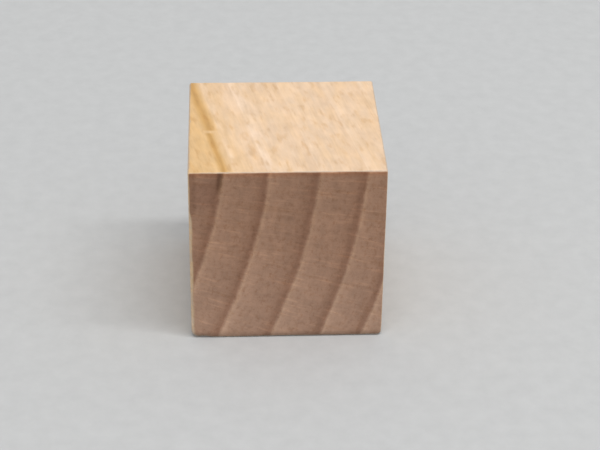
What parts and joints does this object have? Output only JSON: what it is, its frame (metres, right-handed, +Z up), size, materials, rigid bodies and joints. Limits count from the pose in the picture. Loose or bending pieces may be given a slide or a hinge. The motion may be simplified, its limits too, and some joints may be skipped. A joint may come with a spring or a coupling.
{
  "type": "wooden cube",
  "caption": "Plain solid hardwood cube sawn from a planed strip, with finely eased edges and end grain on its front and back.",
  "frame": {"origin": "centre of the lower long-grain face, which the cube rests on", "axes": "+Z up; the grain runs along Y, with the front end grain facing -Y; X from side to side"},
  "size_m": [0.025, 0.025, 0.025],
  "materials": {
    "bare_wood": "matte"
  },
  "bodies": {
    "root": {"wooden_cube": "bare_wood"}
  },
  "joints": []
}
